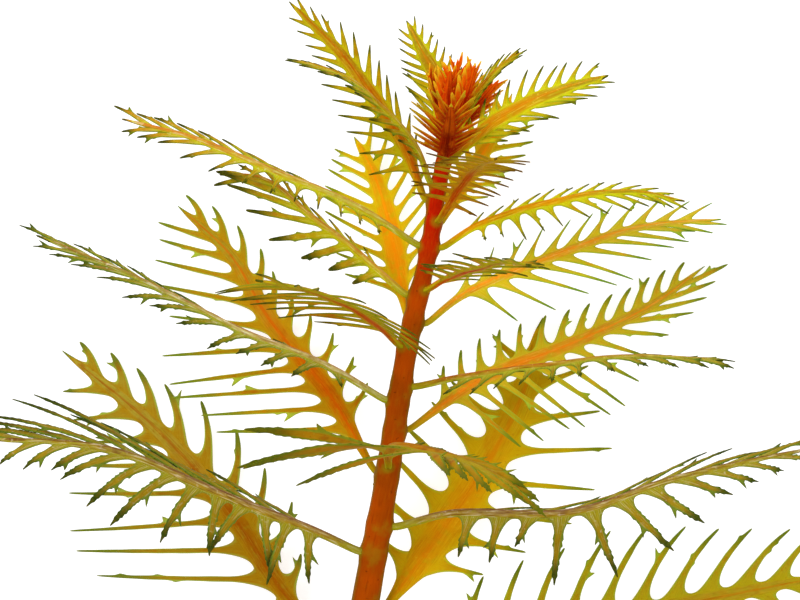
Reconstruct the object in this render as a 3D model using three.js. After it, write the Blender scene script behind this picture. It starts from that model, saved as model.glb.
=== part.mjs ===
// A cut shoot of marsh mermaid weed, lying on a flat surface with its crown towards +Y.
// A red stem rests on its cut end and is propped up by its leaves, which stand alternately all round
// it. Each leaf is one comb-like blade: a broad midrib with narrow, pointed segments along both sides.
// Millimetres; x across the shoot, y along it, z up from the surface it lies on.

import * as THREE from "three";

// The middle of the whole shoot's box, seen from above, in the coordinates used below.
const BOX_MIDDLE = { x: 2.94, y: 15.77 };
const LEAF_GAP = 0.4; // a leaf's foot stops this far off the stem
const SURFACE_Z = 0;

// The stem's centre line from the cut end to the growing point, with its radius at each point.
const STEM_POINTS = [
  { x: -9.8, y: -38.0, z: 1.75, radius: 1.75 },
  { x: -7.0, y: -18.0, z: 3.4, radius: 1.75 },
  { x: -3.9, y: 0.0, z: 7.2, radius: 1.65 },
  { x: -1.9, y: 11.5, z: 9.6, radius: 1.42 },
  { x: -0.8, y: 18.5, z: 10.9, radius: 1.33 },
  { x: 0.8, y: 28.8, z: 12.6, radius: 1.18 },
  { x: 2.3, y: 35.7, z: 13.4, radius: 1.05 },
  { x: 3.3, y: 40.3, z: 13.9, radius: 1.0 },
  { x: 4.0, y: 44.9, z: 14.3, radius: 0.92 },
  { x: 4.8, y: 49.5, z: 14.7, radius: 0.85 },
  { x: 5.7, y: 54.0, z: 15.0, radius: 0.6 },
  { x: 6.1, y: 56.5, z: 15.2, radius: 0.3 },
];
const STEM_SIDES = 12;
const STEM_STEPS = 22;
const NODE_SWELLING = 0.12; // the stem thickens by this share where a leaf leaves it
const NODE_REACH = 1.2; // and over this much of its length either way

// Each leaf: height is its foot's y on the stem; path is the midrib from there on, the last point its
// tip; face is the way its upper side looks, tipFace the same at the tip of a leaf that twists; width
// is the half width of the blade between segments.
// On each side, seen from above with the tip ahead: reach is the segments' length, sweep their angle
// off the midrib and lift their rise towards the upper side, in degrees, each as values spread evenly
// from the first segment to the last, and so is broad, their width against the usual. bend is how far a
// segment's foot stands off its line. tint runs from mature to young.
const LEAVES = [
  { name: "leaf_01", height: -25, face: [0.3, 1, 0.3], width: 1, pairs: 9, tint: 0.05,
    path: [[-16, -22.5, 10], [-26, -18, 14], [-34, -15.5, 15]],
    left: { reach: [4, 8, 3], sweep: [90, 35], lift: [-45, -20], bend: -8, broad: [1, 1] },
    right: { reach: [5, 8, 4], sweep: [60, 25], lift: [0, 0], bend: 6, broad: [1, 1] } },
  { name: "leaf_02", height: -19, face: [0, 1, 0.4], width: 1, pairs: 9, tint: 0.1,
    path: [[8, -18, 9], [20, -15.5, 14], [31, -14.5, 17]],
    left: { reach: [5, 8, 4], sweep: [60, 25], lift: [0, 0], bend: 6, broad: [1, 1] },
    right: { reach: [4, 8, 3], sweep: [90, 35], lift: [-45, -20], bend: -8, broad: [1, 1] } },
  { name: "leaf_03", height: -13, face: [0, 0.1, 1], width: 1.5, pairs: 11, tint: 0.35,
    path: [[12, -7, 2], [30.5, -3.1, 0.6], [45, -0.1, 0.1], [53, 1.4, 0.1]],
    left: { reach: [8, 12, 8], sweep: [60, 48, 38], lift: [10, 0], bend: 14, broad: [1.4, 1.2] },
    right: { reach: [5, 8, 5], sweep: [58, 35], lift: [0, 0], bend: 12, broad: [1.3, 1.3] } },
  { name: "leaf_04", height: -8.3, face: [0.1, 0, 1], width: 1.35, pairs: 9, tint: 0.35,
    path: [[-13.5, -1, 3], [-20.5, 9, 0.6], [-30, 19.5, 0.1], [-41, 28.5, 0.1]],
    left: { reach: [13, 20, 21, 20, 17, 15, 10, 7.5, 7, 5], sweep: [58, 56, 54, 50, 46, 42],
      lift: [0, 0], bend: 2, broad: [1, 1] },
    right: { reach: [4, 7, 7, 8, 8, 7.5, 7, 6, 5, 4], sweep: [62, 55, 45, 30, 32, 26], lift: [20, 5],
      bend: 22, broad: [1.6, 1.6] } },
  { name: "leaf_05", height: -3, face: [0, 0.2, 1], width: 2.4, pairs: 8, tint: 0.6,
    path: [[3.5, 5, 4], [11.2, 16, 1.2], [15, 23.5, 0.2], [17.3, 32.5, 0.1]],
    left: { reach: [6, 8, 9, 9, 8, 7, 6, 5], sweep: [82, 80, 76, 60], lift: [6, 0], bend: 2,
      broad: [1.3, 1.3] },
    right: { reach: [6, 8, 11, 12.5, 12.5, 9, 7, 5], sweep: [66, 64, 58, 50], lift: [0, 0], bend: 2,
      broad: [1.1, 1.1] } },
  { name: "leaf_06", height: 5, face: [0.3, 1, 0.35], width: 0.75, pairs: 12, tint: 0.1,
    path: [[-10, 8, 12.5], [-19, 12.3, 18], [-32, 18.3, 24], [-45, 19.5, 26]],
    tipFace: [0.2, 0.9, 0.5],
    left: { reach: [6, 7.6, 6.8, 6.6, 7, 8.2, 9.6, 9.6, 7.4, 5.5, 5.2, 4.7],
      sweep: [109, 78, 118, 72, 94, 75, 60, 50, 40, 38, 40, 42], lift: [-55, -30], bend: -12,
      broad: [1, 1, 0.7] },
    right: { reach: [8, 12, 15, 16, 12, 6], sweep: [18, 12, 9, 8], lift: [5, 3], bend: 2,
      broad: [0.8, 0.8] } },
  { name: "leaf_07", height: 8.4, face: [-0.1, 1, 0.3], width: 0.6, pairs: 11, tint: 0.15,
    path: [[6, 9.9, 12], [17.5, 10.4, 17], [22, 11.4, 18.3], [30, 14.6, 20.5], [46, 18.3, 22]],
    tipFace: [-0.1, 0.9, 0.5],
    left: { reach: [5, 8, 9, 9, 8, 7], sweep: [28, 16, 10], lift: [-14, 0], bend: 3, broad: [0.6, 0.6] },
    right: { reach: [5, 5.5, 3.6, 7.6, 8.4, 8, 7.4, 6, 5, 4.2, 3.7],
      sweep: [108, 104, 112, 90, 74, 58, 36, 28, 24, 16], lift: [-60, -40], bend: 0,
      broad: [1, 1, 0.45] } },
  { name: "leaf_08", height: 14, face: [0.1, 0.1, 1], width: 1.3, pairs: 10, tint: 0.5,
    path: [[-8.5, 23.5, 4.5], [-16, 32.5, 1.2], [-20.5, 40, 0.2], [-27, 46, 0.1]],
    left: { reach: [15, 16, 17, 15, 14, 12, 12, 10.6, 8.2, 6.5],
      sweep: [60, 58, 56, 55, 54, 50, 48, 46, 36, 26], lift: [0, 0], bend: 2, broad: [1, 1] },
    right: { reach: [4, 4.4, 4, 4, 4.2, 4.4, 4.4, 4], sweep: [68, 66, 50, 32, 26, 20], lift: [20, 5],
      bend: 22, broad: [1.3, 1.3] } },
  { name: "leaf_09", height: 15.5, face: [0.1, 1, -0.15], width: 0.9, pairs: 9, tint: 0.2,
    path: [[-1, 18, 19], [3.5, 18.2, 27], [8.5, 17, 35], [12.5, 14.8, 39]],
    left: { reach: [8, 9, 8, 6], sweep: [26, 18, 12], lift: [-14, -6], bend: 3, broad: [0.8, 0.8] },
    right: { reach: [17, 21, 24, 21, 12, 11, 10, 9, 8], sweep: [84, 80, 74, 70, 24, 18, 15, 12, 10],
      lift: [-3, -15, -12, -20, -20, -20, -20, -20, -20], bend: 3, broad: [1.5, 0.6] } },
  { name: "leaf_10", height: 19.4, face: [0, 0.2, 1], width: 0.95, pairs: 13, tint: 0.55,
    path: [[9, 24.8, 6.5], [21.5, 29.7, 2.8], [30.5, 34, 1], [37, 38.7, 0.1]],
    left: { reach: [3.5, 4, 4, 4, 4, 4.2, 4.2, 4, 4.2, 3.4],
      sweep: [58, 64, 68, 66, 60, 44, 38, 36, 36, 28], lift: [10, 0], bend: 16, broad: [1.3, 1.3] },
    right: { reach: [9, 10.5, 10.5, 11, 11, 9, 6, 7, 8, 6.5, 6],
      sweep: [75, 65, 60, 58, 56, 50, 42, 24, 18, 16, 14], lift: [0, 0], bend: 2, broad: [1, 1] } },
  { name: "leaf_11", height: 22.7, face: [0.4, 1, 0.1], width: 0.45, pairs: 12, tint: 0.15,
    path: [[-8.5, 27, 15], [-18, 31, 17], [-28.5, 36.5, 19.5], [-40.5, 41.7, 20]],
    tipFace: [0.3, 0.8, 0.5],
    left: { reach: [2, 5.5, 5, 5.4, 5.6, 6, 6.2, 6.4, 6.4, 6, 5],
      sweep: [120, 52, 58, 52, 42, 32, 26, 22, 18, 15], lift: [-30, -15], bend: -5, broad: [0.8, 0.45] },
    right: { reach: [4, 5, 6], sweep: [30, 12, 10], lift: [-8, 0], bend: 3, broad: [0.5, 0.5] } },
  { name: "leaf_12", height: 24.7, face: [0, 1, 0.1], width: 0.3, pairs: 11, tint: 0.2,
    path: [[7, 25.6, 15.5], [16, 27.1, 20], [25, 28.2, 22], [35.5, 27.8, 23]],
    left: { reach: [2, 4, 6.5, 7, 6], sweep: [18, 11, 9], lift: [-24, -10], bend: 2, broad: [0.5, 0.5] },
    right: { reach: [3.4, 3, 2.6, 2.4, 2.4, 2.6, 3.2, 4, 4.4, 4.4],
      sweep: [150, 135, 120, 100, 75, 50, 30, 20, 16], lift: [-50, -20], bend: -10,
      broad: [0.8, 0.6] } },
  { name: "leaf_13", height: 29.2, face: [0.1, 1, -0.2], width: 0.8, pairs: 10, tint: 0.3,
    path: [[-2.5, 31.8, 18.5], [-6.5, 34.3, 23.5], [-11, 35.8, 27], [-15.5, 36.6, 29]],
    left: { reach: [6, 9, 9, 8, 6], sweep: [118, 112, 100, 70, 40], lift: [-25, -20, -10], bend: 3,
      broad: [1, 1] },
    right: { reach: [7.5, 9, 10, 10, 9, 7], sweep: [55, 48, 40], lift: [-16, -12, -8], bend: 3,
      broad: [1, 1] } },
  { name: "leaf_14", height: 31.9, face: [0, 0.5, 0.9], width: 0.65, pairs: 11, tint: 0.65,
    path: [[7, 34.9, 11.5], [18.5, 39.8, 9], [28, 43, 7.5], [38, 44, 6]],
    left: { reach: [3.5, 5, 5.2, 4.4], sweep: [45, 36, 28], lift: [25, 10], bend: 3, broad: [0.9, 0.9] },
    right: { reach: [5.9, 7.8, 9, 9.5, 8.8, 8, 7.6, 6, 5, 4],
      sweep: [64, 50, 46, 41, 37, 28, 20, 15, 12], lift: [0, 0], bend: 2, broad: [1.2, 1.2] } },
  { name: "leaf_15", height: 32.2, face: [0, 0.45, 0.9], width: 1.4, pairs: 9, tint: 0.75,
    path: [[-0.4, 39, 7.5], [-1.8, 45.5, 3.8], [-3.6, 50.7, 1.3], [-5.6, 54.3, 0.1]],
    left: { reach: [6, 8.5, 4], sweep: [64, 35], lift: [5, 0], bend: 6, broad: [1, 1] },
    right: { reach: [5, 7, 4], sweep: [56, 35], lift: [25, 5], bend: 8, broad: [1, 1] } },
  { name: "leaf_16", height: 34.7, face: [0.4, 0.5, 0.75], width: 0.5, pairs: 9, tint: 0.4,
    path: [[-5, 40, 13.6], [-10.5, 44.3, 14.2], [-15.5, 48.3, 14], [-20.7, 48.8, 13.5]],
    left: { reach: [3.8, 5, 7, 7.8, 8.6, 9, 8, 6, 4.5], sweep: [77, 67, 58, 42, 36, 28, 24, 20],
      lift: [0, 0], bend: 3, broad: [1.5, 1.3] },
    right: { reach: [2, 2.6, 3, 3], sweep: [16, 12, 10], lift: [20, 10], bend: 3, broad: [0.6, 0.8] } },
  { name: "leaf_17", height: 35.8, face: [0, 1, -0.2], width: 0.55, pairs: 9, tint: 0.3,
    path: [[5.5, 37, 18.5], [8.8, 38, 25], [11, 38.5, 29.5], [13.8, 38.1, 33]],
    left: { reach: [4, 5, 5.5, 5.5, 5, 4], sweep: [70, 64, 58, 45], lift: [0, 0], bend: 3,
      broad: [1, 1] },
    right: { reach: [4, 6, 6, 5], sweep: [80, 70, 60], lift: [0, 0], bend: 3, broad: [1, 1] } },
  { name: "leaf_18", height: 40.4, face: [0.3, 1, 0.05], width: 0.55, pairs: 12, tint: 0.4,
    path: [[-5, 45, 17], [-14.5, 49, 19], [-22.5, 52.3, 20], [-31, 54.6, 20]],
    tipFace: [0.2, 0.5, 0.85],
    left: { reach: [1.5, 1.7, 2, 2.2, 2.4, 3, 4.5, 5, 5, 4],
      sweep: [120, 110, 100, 90, 75, 50, 30, 22, 18], lift: [-50, -20], bend: -6, broad: [0.8, 0.8] },
    right: { reach: [2.6, 3.6, 4.6, 4.6], sweep: [14, 14, 16], lift: [0, 0], bend: 3,
      broad: [0.8, 0.8] } },
  { name: "leaf_19", height: 40.6, face: [0, 0.8, 0.6], width: 0.65, pairs: 12, tint: 0.55,
    path: [[9, 43, 15.5], [18, 45.7, 17], [25.5, 46.7, 17], [32.2, 45.6, 16.5]],
    left: { reach: [2.2, 3, 2.8, 2.4], sweep: [40, 32, 22], lift: [0, 0], bend: 2, broad: [1.2, 1.2] },
    right: { reach: [2, 2.6, 3.8, 4, 3.2, 4, 4.6, 4.6, 4, 3.4, 3],
      sweep: [98, 90, 75, 80, 52, 46, 32, 26, 22, 18], lift: [-20, -10], bend: 2, broad: [1.2, 1.2] } },
  { name: "leaf_20", height: 43.2, face: [0, 0.3, 1], width: 0.9, pairs: 8, tint: 0.75,
    path: [[8, 49, 10], [11.5, 54.5, 7], [13.3, 59, 5]],
    left: { reach: [3, 5, 3], sweep: [56, 32], lift: [10, 0], bend: 6, broad: [1, 1] },
    right: { reach: [3, 5.5, 3], sweep: [56, 32], lift: [0, 0], bend: 6, broad: [1, 1] } },
  { name: "leaf_21", height: 43.5, face: [0, 1, -0.3], width: 0.6, pairs: 11, tint: 0.5,
    path: [[6.4, 46.7, 19.5], [8.3, 48.8, 26], [10.2, 49.3, 33]],
    left: { reach: [4, 4.8, 4.6, 4], sweep: [108, 98, 80], lift: [0, 0], bend: 2, broad: [1.2, 1.2] },
    right: { reach: [4.5, 6, 6, 5], sweep: [90, 78, 60], lift: [0, 0], bend: 2, broad: [1.2, 1.2] } },
  { name: "leaf_22", height: 45.5, face: [0.3, 0.2, 1], width: 1.05, pairs: 11, tint: 0.6,
    path: [[0.5, 52, 12.5], [-3.2, 58, 11], [-7, 63.2, 9.8], [-13, 69.3, 9]],
    left: { reach: [4.6, 4.8, 5, 5, 4.8, 4.5, 4, 3.2, 2.8, 2.4],
      sweep: [90, 68, 52, 46, 42, 38, 34, 30, 26], lift: [0, 0], bend: 2, broad: [1.4, 1.4] },
    right: { reach: [2.6, 3.6, 4.2, 4.4, 4, 3.2, 2.4], sweep: [24, 30, 32, 28, 20, 14], lift: [15, 0],
      bend: -3, broad: [1.4, 1.4] } },
  { name: "leaf_23", height: 47.5, face: [0.3, 1, 0.2], width: 0.5, pairs: 11, tint: 0.5,
    path: [[1.5, 52, 17], [-2.2, 56, 19], [-6, 59, 21.5], [-11.6, 60.7, 23]],
    left: { reach: [2.8, 4.6, 4.6, 4], sweep: [52, 34, 16], lift: [-40, -15], bend: 3, broad: [1, 1] },
    right: { reach: [2.5, 3.4, 3.4, 2.8], sweep: [30, 20, 12], lift: [0, 0], bend: 3, broad: [1, 1] } },
  { name: "leaf_24", height: 50, face: [0, 0.8, -0.6], width: 0.9, pairs: 11, tint: 0.8,
    path: [[5.4, 53, 19.6], [5.6, 55.9, 23.4]],
    left: { reach: [3, 4.4, 4.6, 3.4], sweep: [48, 40, 28], lift: [0, 0], bend: 6, broad: [1.4, 1.4] },
    right: { reach: [3.6, 5, 5, 3.6], sweep: [52, 40, 28], lift: [0, 0], bend: 6, broad: [1.4, 1.4] } },
  { name: "leaf_25", height: 50.8, face: [-0.3, 0.6, 0.7], width: 1.35, pairs: 10, tint: 0.6,
    path: [[10.5, 54.3, 18], [16, 57, 20.8], [23, 59.2, 22]],
    left: { reach: [3, 3.6, 4, 3.8, 3], sweep: [66, 64, 58, 46], lift: [10, 0], bend: 3,
      broad: [1.6, 1.4] },
    right: { reach: [4.5, 5.5, 6.2, 5.2, 3.6, 2.4], sweep: [48, 40, 32, 26, 20], lift: [5, 0], bend: 2,
      broad: [1.6, 1.2] } },
  { name: "leaf_26", height: 51.7, face: [0, 0, 1], width: 1.1, pairs: 10, tint: 0.7,
    path: [[4.6, 59, 12.5], [2.6, 62.8, 13.5], [0.7, 66.4, 14]],
    left: { reach: [3.8, 4.2, 4, 3.4, 2.6, 1.8], sweep: [50, 48, 45, 36, 30], lift: [0, 0], bend: 3,
      broad: [1.3, 1.3] },
    right: { reach: [3, 3, 2.8, 2.3, 2, 1.6], sweep: [36, 38, 42, 38, 30], lift: [15, 0], bend: 3,
      broad: [1.3, 1.3] } },
  { name: "leaf_27", height: 53, face: [-0.6, 0.7, 0.4], width: 0.7, pairs: 9, tint: 0.85,
    path: [[8.3, 57.2, 16.2], [10.6, 60, 17], [13.4, 62.4, 17.5]],
    left: { reach: [2.4, 3.4, 2.2], sweep: [40, 22], lift: [0, 0], bend: 4, broad: [1.2, 1.2] },
    right: { reach: [2.4, 3.2, 2.2], sweep: [40, 22], lift: [0, 0], bend: 4, broad: [1.2, 1.2] } },
];

// The unopened leaves round the growing point, closely packed and still nearly straight.
const BUD_LEAVES = [
  { name: "bud_leaf_1", height: 54.6, path: [[6.4, 58.6, 14.0], [6.6, 62.0, 13.4]], face: [0, 0, 1] },
  { name: "bud_leaf_2", height: 54.4, path: [[7.5, 57.6, 18.7], [8.4, 60.8, 20.0]], face: [-0.6, 0, -0.8] },
  { name: "bud_leaf_3", height: 54.2, path: [[5.4, 57.4, 17.4], [5.6, 60.3, 19.0]], face: [0, 0.3, -1] },
  { name: "bud_leaf_4", height: 54.0, path: [[3.8, 57.2, 14.9], [3.2, 60.2, 15.6]], face: [0.9, 0, 0.3] },
  { name: "bud_leaf_5", height: 53.6, path: [[9.0, 56.8, 12.8], [11.4, 59.8, 12.0]], face: [-0.5, 0, 0.8] },
];
const BUD_SEGMENTS = { reach: [2.8, 2.4, 1.4], sweep: [30, 22], lift: [20, 20], bend: 0, broad: [1, 1] };
const BUD_SHAPE = { pairs: 5, width: 0.45, tint: 1.0, left: BUD_SEGMENTS, right: BUD_SEGMENTS };

// What all leaves share. A share is a part of the midrib's length, counted from the foot.
const FIRST_SEGMENT = 0.12; // share
const LAST_SEGMENT = 0.95; // share
const BROADEST = 0.32; // share at which the blade is broadest
const TIP_NARROWING = 0.85; // the blade loses this much of its width by the tip
const STAGGER = 0.5; // the right side's segments stand this part of a step further on
const FOOT_WIDTH = 0.38; // half width of the stalk where it meets the stem
const BLADE_THICKNESS = 0.55; // at the foot
const TIP_THICKNESS = 0.22;
const SEGMENT_THINNING = 0.8; // a segment's flare is this much of the blade's thickness
const FLARE = 0.24; // a segment narrows to its slim part over this part of its length
const PLAIN_LENGTH = 3.6; // segments shorter than this are plain points
const SLIM_WIDTH = 0.36; // half width of the slim part of a segment
const SLIM_SHARE = 0.38; // and at most this part of the width of the segment's foot

const toVector = (p) => new THREE.Vector3(...p);
const radians = THREE.MathUtils.degToRad;

const stemCurve = new THREE.CatmullRomCurve3(
  STEM_POINTS.map((p) => new THREE.Vector3(p.x, p.y, p.z)),
);

// The share of the way along the stem's curve at which it is a given height up.
function stemShareAt(height) {
  let [low, high] = [0, 1];
  while (high - low > 1e-6) {
    const middle = (low + high) / 2;
    if (stemCurve.getPoint(middle).y < height) low = middle;
    else high = middle;
  }
  return low;
}

function stemRadiusAt(share) {
  const place = share * (STEM_POINTS.length - 1);
  const i = Math.min(Math.floor(place), STEM_POINTS.length - 2);
  return THREE.MathUtils.lerp(STEM_POINTS[i].radius, STEM_POINTS[i + 1].radius, place - i);
}

// A closed solid from a sheet: each vertex has a place, a normal and a thickness.
function thicken(sheet, triangles) {
  const count = sheet.length;
  const positions = new Float32Array(count * 6);
  sheet.forEach(({ place, normal, thickness }, i) => {
    const half = normal.clone().multiplyScalar(thickness / 2);
    const top = place.clone().add(half);
    const bottom = place.clone().sub(half);
    const sunk = SURFACE_Z - Math.min(top.z, bottom.z);
    if (sunk > 0) [top, bottom].forEach((p) => (p.z += sunk)); // flattened on the surface
    top.toArray(positions, i * 3);
    bottom.toArray(positions, (count + i) * 3);
  });
  const index = [];
  const edges = new Set(triangles.flatMap(([a, b, c]) => [`${a},${b}`, `${b},${c}`, `${c},${a}`]));
  for (const [a, b, c] of triangles) {
    index.push(a, b, c, count + a, count + c, count + b);
    for (const [from, to] of [[a, b], [b, c], [c, a]]) {
      if (edges.has(`${to},${from}`)) continue; // not on the rim
      index.push(from, count + from, to, to, count + from, count + to);
    }
  }
  const geometry = new THREE.BufferGeometry();
  geometry.setAttribute("position", new THREE.BufferAttribute(positions, 3));
  geometry.setIndex(index);
  geometry.computeVertexNormals();
  return geometry;
}

const easeIn = (share, from, to) => THREE.MathUtils.smoothstep(share, from, to);

// The blade widens from the foot, then narrows to the tip.
function bladeHalfWidth(leaf, share) {
  const narrowing = 1 - TIP_NARROWING * Math.max((share - BROADEST) / (1 - BROADEST), 0) ** 2;
  const foot = Math.min(FOOT_WIDTH, leaf.width);
  return THREE.MathUtils.lerp(foot, leaf.width, easeIn(share, 0, BROADEST)) * narrowing;
}

// The value at a share of the way through a list of values spread evenly.
function spreadValue(values, share) {
  const place = share * (values.length - 1);
  const i = Math.min(Math.floor(place), values.length - 2);
  return THREE.MathUtils.lerp(values[i], values[i + 1], place - i);
}

function leafGeometry(leaf) {
  const share = stemShareAt(leaf.height);
  const axis = stemCurve.getPoint(share);
  const along = stemCurve.getTangent(share);
  const points = leaf.path.map(toVector);
  const outward = points[0].clone().sub(axis);
  outward.addScaledVector(along, -outward.dot(along)).normalize();
  const clearance = stemRadiusAt(share) * (1 + NODE_SWELLING) + LEAF_GAP;
  const foot = axis.clone().addScaledVector(outward, clearance);
  const midrib = new THREE.CatmullRomCurve3([foot, ...points]);
  const tipFace = toVector(leaf.tipFace ?? leaf.face);

  const frameAt = (s) => {
    const tangent = midrib.getTangentAt(s);
    const face = toVector(leaf.face).lerp(tipFace, s);
    const normal = face.clone().addScaledVector(tangent, -face.dot(tangent)).normalize();
    return { centre: midrib.getPointAt(s), tangent, normal, right: tangent.clone().cross(normal) };
  };
  const sheet = [];
  const triangles = [];
  const addVertex = (place, normal, thickness) => sheet.push({ place, normal, thickness }) - 1;
  const thicknessAt = (s) => THREE.MathUtils.lerp(BLADE_THICKNESS, TIP_THICKNESS, s);
  const halves = [{ side: -1, start: 0, ...leaf.left }, { side: 1, start: STAGGER, ...leaf.right }];
  const step = (LAST_SEGMENT - FIRST_SEGMENT) / (leaf.pairs + STAGGER);

  // The blade's two edges, each with a vertex at the foot and at the ends of each segment.
  const edges = halves.map(({ side, start, lift }) => {
    const shares = [0];
    for (let i = 0; i <= leaf.pairs; i++) shares.push(FIRST_SEGMENT + (i + start) * step);
    return shares.map((s, i) => {
      const { centre, normal, right } = frameAt(s);
      const half = bladeHalfWidth(leaf, s);
      const tilt = radians(spreadValue(lift, Math.max(i - 1, 0) / leaf.pairs)) / 2;
      const place = centre.clone()
        .addScaledVector(right, side * half * Math.cos(tilt))
        .addScaledVector(normal, half * Math.sin(tilt));
      return addVertex(place, normal, thicknessAt(s));
    });
  });
  const [left, right] = edges;
  for (let i = 0; i + 1 < left.length; i++) {
    triangles.push([left[i], right[i], left[i + 1]], [right[i], right[i + 1], left[i + 1]]);
  }

  // The end lobe.
  const end = frameAt(1);
  const tip = addVertex(end.centre, end.normal, TIP_THICKNESS);
  triangles.push([left[left.length - 1], right[right.length - 1], tip]);

  // The segments: a flare off the blade's edge, then a slim part to a point.
  for (let i = 0; i < leaf.pairs; i++) {
    const turn = i / (leaf.pairs - 1);
    halves.forEach(({ side, start, bend, broad, ...part }, k) => {
      const s = FIRST_SEGMENT + (i + start + 0.5) * step;
      const { tangent, normal, right } = frameAt(s);
      const length = spreadValue(part.reach, turn);
      const [low, high] = [edges[k][i + 1], edges[k][i + 2]];
      const root = sheet[low].place.clone().lerp(sheet[high].place, 0.5);
      const spread = spreadValue(part.sweep, turn);
      const tilt = radians(spreadValue(part.lift, turn));
      const outwards = right.clone().multiplyScalar(side * Math.cos(tilt))
        .addScaledVector(normal, Math.sin(tilt));
      const upper = normal.clone().multiplyScalar(Math.cos(tilt))
        .addScaledVector(right, -side * Math.sin(tilt));
      const aim = (angle) => tangent.clone().multiplyScalar(Math.cos(radians(angle)))
        .addScaledVector(outwards, Math.sin(radians(angle)));
      const point = root.clone().addScaledVector(aim(spread), length);
      const sharp = addVertex(point, upper, TIP_THICKNESS);
      if (length < PLAIN_LENGTH) {
        triangles.push(side > 0 ? [low, sharp, high] : [low, high, sharp]);
        return;
      }
      const footWidth = sheet[low].place.distanceTo(sheet[high].place);
      const slim = Math.min(SLIM_WIDTH * spreadValue(broad, turn), SLIM_SHARE * footWidth);
      const flareEnd = root.clone().addScaledVector(aim(spread + bend), length * FLARE);
      const across = tangent.clone().multiplyScalar(slim);
      const thickness = thicknessAt(s) * SEGMENT_THINNING;
      const lowSide = addVertex(flareEnd.clone().sub(across), upper, thickness);
      const highSide = addVertex(flareEnd.clone().add(across), upper, thickness);
      const faces = [[low, lowSide, highSide], [low, highSide, high], [lowSide, sharp, highSide]];
      for (const [a, b, c] of faces) triangles.push(side > 0 ? [a, b, c] : [a, c, b]);
    });
  }
  return thicken(sheet, triangles);
}

// The stem is a round tube of changing radius with a flat cut end, closed over the growing point.
function stemGeometry(feet) {
  const rings = [];
  for (let i = 0; i <= STEM_STEPS; i++) {
    const share = i / STEM_STEPS;
    const centre = stemCurve.getPoint(share);
    const along = stemCurve.getTangent(share);
    const across = new THREE.Vector3(0, 0, 1).cross(along).normalize();
    const up = along.clone().cross(across);
    const swelling = feet.some((height) => Math.abs(height - centre.y) < NODE_REACH) ? NODE_SWELLING : 0;
    const radius = stemRadiusAt(share) * (1 + swelling);
    rings.push(Array.from({ length: STEM_SIDES }, (_, k) => {
      const turn = (2 * Math.PI * k) / STEM_SIDES;
      const p = centre.clone()
        .addScaledVector(across, radius * Math.cos(turn))
        .addScaledVector(up, radius * Math.sin(turn));
      p.z = Math.max(p.z, SURFACE_Z);
      return p;
    }));
  }
  const vertices = [...rings.flat(), stemCurve.getPoint(0), stemCurve.getPoint(1)];
  const [cutMiddle, growingPoint] = [vertices.length - 2, vertices.length - 1];
  const top = STEM_STEPS * STEM_SIDES;
  const index = [];
  for (let k = 0; k < STEM_SIDES; k++) {
    const next = (k + 1) % STEM_SIDES;
    index.push(cutMiddle, next, k, growingPoint, top + k, top + next);
    for (let i = 0; i < STEM_STEPS; i++) {
      const [a, b] = [i * STEM_SIDES + k, i * STEM_SIDES + next];
      const [c, d] = [a + STEM_SIDES, b + STEM_SIDES];
      index.push(a, b, d, a, d, c);
    }
  }
  const geometry = new THREE.BufferGeometry().setFromPoints(vertices);
  geometry.setIndex(index);
  geometry.computeVertexNormals();
  return geometry;
}

const STEM_RED = new THREE.Color(0x9a2c0c);
const MATURE_OLIVE = new THREE.Color(0x7d6a14);
const YOUNG_ORANGE = new THREE.Color(0xd9650c);

const plant = new THREE.Group();
plant.position.set(-BOX_MIDDLE.x, -BOX_MIDDLE.y, 0);

function addNode(name, geometry, color) {
  const material = new THREE.MeshStandardMaterial({ color, roughness: 0.5, metalness: 0 });
  const mesh = new THREE.Mesh(geometry, material);
  mesh.name = name;
  plant.add(mesh);
}

addNode("stem", stemGeometry(LEAVES.map((leaf) => leaf.height)), STEM_RED);
for (const leaf of [...LEAVES, ...BUD_LEAVES.map((bud) => ({ ...BUD_SHAPE, ...bud }))]) {
  addNode(leaf.name, leafGeometry(leaf), MATURE_OLIVE.clone().lerp(YOUNG_ORANGE, leaf.tint));
}

export default plant;
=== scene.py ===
import math
import random
from collections import namedtuple

import bmesh
import bpy
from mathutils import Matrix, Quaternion, Vector


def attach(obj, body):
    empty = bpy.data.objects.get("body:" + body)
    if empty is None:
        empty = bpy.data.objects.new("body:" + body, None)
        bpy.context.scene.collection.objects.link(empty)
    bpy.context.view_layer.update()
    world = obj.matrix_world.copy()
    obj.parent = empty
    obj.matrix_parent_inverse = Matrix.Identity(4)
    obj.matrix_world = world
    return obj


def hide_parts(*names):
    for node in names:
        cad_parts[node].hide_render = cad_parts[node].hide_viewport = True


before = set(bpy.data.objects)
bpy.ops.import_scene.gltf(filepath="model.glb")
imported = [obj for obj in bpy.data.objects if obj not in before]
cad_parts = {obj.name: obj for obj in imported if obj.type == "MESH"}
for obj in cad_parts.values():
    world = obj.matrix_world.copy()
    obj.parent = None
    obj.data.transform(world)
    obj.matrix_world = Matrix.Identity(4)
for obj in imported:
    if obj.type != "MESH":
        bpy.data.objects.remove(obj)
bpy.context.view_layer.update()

# The white table and the light
# The cut shoot lies on its back on a white table, under a bright sky and two soft boxes.
# The camera hangs straight above it and looks down.

MM = 0.001  # this section's places and sizes are in metres, those of all others in mm
TABLE_REACH = 1.5  # from the middle to each edge
HORIZON_GLOW, OVERHEAD_GLOW = 0.3, 1.0
LIT_PLACE = Vector((0, 0.01, 0.012))  # where the boxes shine
CAMERA_PLACE = (-2.94 * MM, 18.73 * MM, 242 * MM)


def make_piece(name, mesh):
    """Makes a finished mesh a piece of the scene."""
    data = bpy.data.meshes.new(name)
    mesh.to_mesh(data)
    mesh.free()
    piece = bpy.data.objects.new(name, data)
    bpy.context.scene.collection.objects.link(piece)
    return piece


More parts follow.
